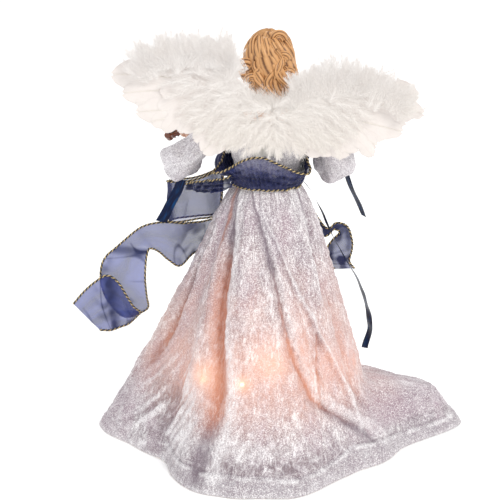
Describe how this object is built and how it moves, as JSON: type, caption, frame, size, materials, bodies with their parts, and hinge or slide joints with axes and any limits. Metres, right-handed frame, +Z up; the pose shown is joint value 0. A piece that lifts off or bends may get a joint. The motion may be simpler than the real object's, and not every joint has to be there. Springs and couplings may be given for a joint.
{
  "type": "angel tree topper",
  "caption": "Fabric angel on a hollow cone, with a train gown, hinged feather wings, an organza bow and wired arms that hold a small violin and bow.",
  "frame": {"origin": "middle of the foot: half way across the whole part in X and in Y, on the surface that it stands on", "axes": "+Z up, +Y the way the figure faces, +X to the figure's right seen from behind"},
  "size_m": [0.3702, 0.2356, 0.4102],
  "materials": {
    "cone_plastic": "satin moulded",
    "lamp_plastic": "moulded",
    "bulb_glass": "clear, lit",
    "stuffed_cloth": "plain weave",
    "dowel_wood": "bare",
    "velvet": "crushed velvet",
    "organza": "sheer, wired gold and black edges",
    "satin": "satin ribbon",
    "cast_resin": "painted hair and skin",
    "skin_resin": "painted skin",
    "wire_steel": "drawn wire",
    "violin_wood": "varnished",
    "bow_wood": "varnished",
    "bracket_plastic": "moulded",
    "feather": "goose feathers",
    "marabou": "marabou down"
  },
  "bodies": {
    "figure": {"inner_cone": "cone_plastic", "lamp_holder_1": "lamp_plastic", "bulb_1": "bulb_glass", "lamp_holder_2": "lamp_plastic", "bulb_2": "bulb_glass", "lamp_holder_3": "lamp_plastic", "bulb_3": "bulb_glass", "lamp_holder_4": "lamp_plastic", "bulb_4": "bulb_glass", "lamp_holder_5": "lamp_plastic", "bulb_5": "bulb_glass", "lamp_holder_6": "lamp_plastic", "bulb_6": "bulb_glass", "lamp_holder_7": "lamp_plastic", "bulb_7": "bulb_glass", "lamp_holder_8": "lamp_plastic", "bulb_8": "bulb_glass", "lamp_holder_9": "lamp_plastic", "bulb_9": "bulb_glass", "lamp_holder_10": "lamp_plastic", "bulb_10": "bulb_glass", "torso_form": "stuffed_cloth", "neck_dowel": "dowel_wood", "bodice": "velvet", "skirt": "velvet", "waist_sash": "organza", "organza_bow": "organza", "organza_tail_left": "organza", "organza_tail_right": "organza", "head_casting": "cast_resin", "satin_ribbon_right_long": "satin", "wing_bracket": "bracket_plastic"},
    "left_wing": {"left_wing_frame": "wire_steel", "left_flight_feather_1": "feather", "left_flight_feather_2": "feather", "left_flight_feather_3": "feather", "left_flight_feather_4": "feather", "left_flight_feather_5": "feather", "left_flight_feather_6": "feather", "left_covert_pad": "feather", "left_marabou_trim": "marabou"},
    "right_wing": {"right_wing_frame": "wire_steel", "right_flight_feather_1": "feather", "right_flight_feather_2": "feather", "right_flight_feather_3": "feather", "right_flight_feather_4": "feather", "right_flight_feather_5": "feather", "right_flight_feather_6": "feather", "right_covert_pad": "feather", "right_marabou_trim": "marabou"},
    "left_arm": {"left_hand": "skin_resin", "left_arm_wire": "wire_steel", "left_sleeve": "velvet", "violin": "violin_wood", "satin_ribbon_left": "satin"},
    "right_arm": {"right_hand": "skin_resin", "right_arm_wire": "wire_steel", "right_sleeve": "velvet", "violin_bow": "bow_wood", "satin_ribbon_right_short": "satin"}
  },
  "joints": [
    {"name": "left_wing_hinge", "type": "hinge", "parent": "figure", "child": "left_wing", "pos_m": [-0.01408, -0.03195, 0.3066], "axis": [0, 0, 1], "range_deg": [-12, 20]},
    {"name": "right_wing_hinge", "type": "hinge", "parent": "figure", "child": "right_wing", "pos_m": [0.00192, -0.03195, 0.3066], "axis": [0, 0, -1], "range_deg": [-12, 20]},
    {"name": "left_shoulder", "type": "hinge", "parent": "figure", "child": "left_arm", "pos_m": [-0.04055, 0.00059, 0.3103], "axis": [0, 0, 1], "range_deg": [-2, 5]},
    {"name": "right_shoulder", "type": "hinge", "parent": "figure", "child": "right_arm", "pos_m": [0.02836, 0.00059, 0.3103], "axis": [0, 0, 1], "range_deg": [-12, 0]}
  ]
}
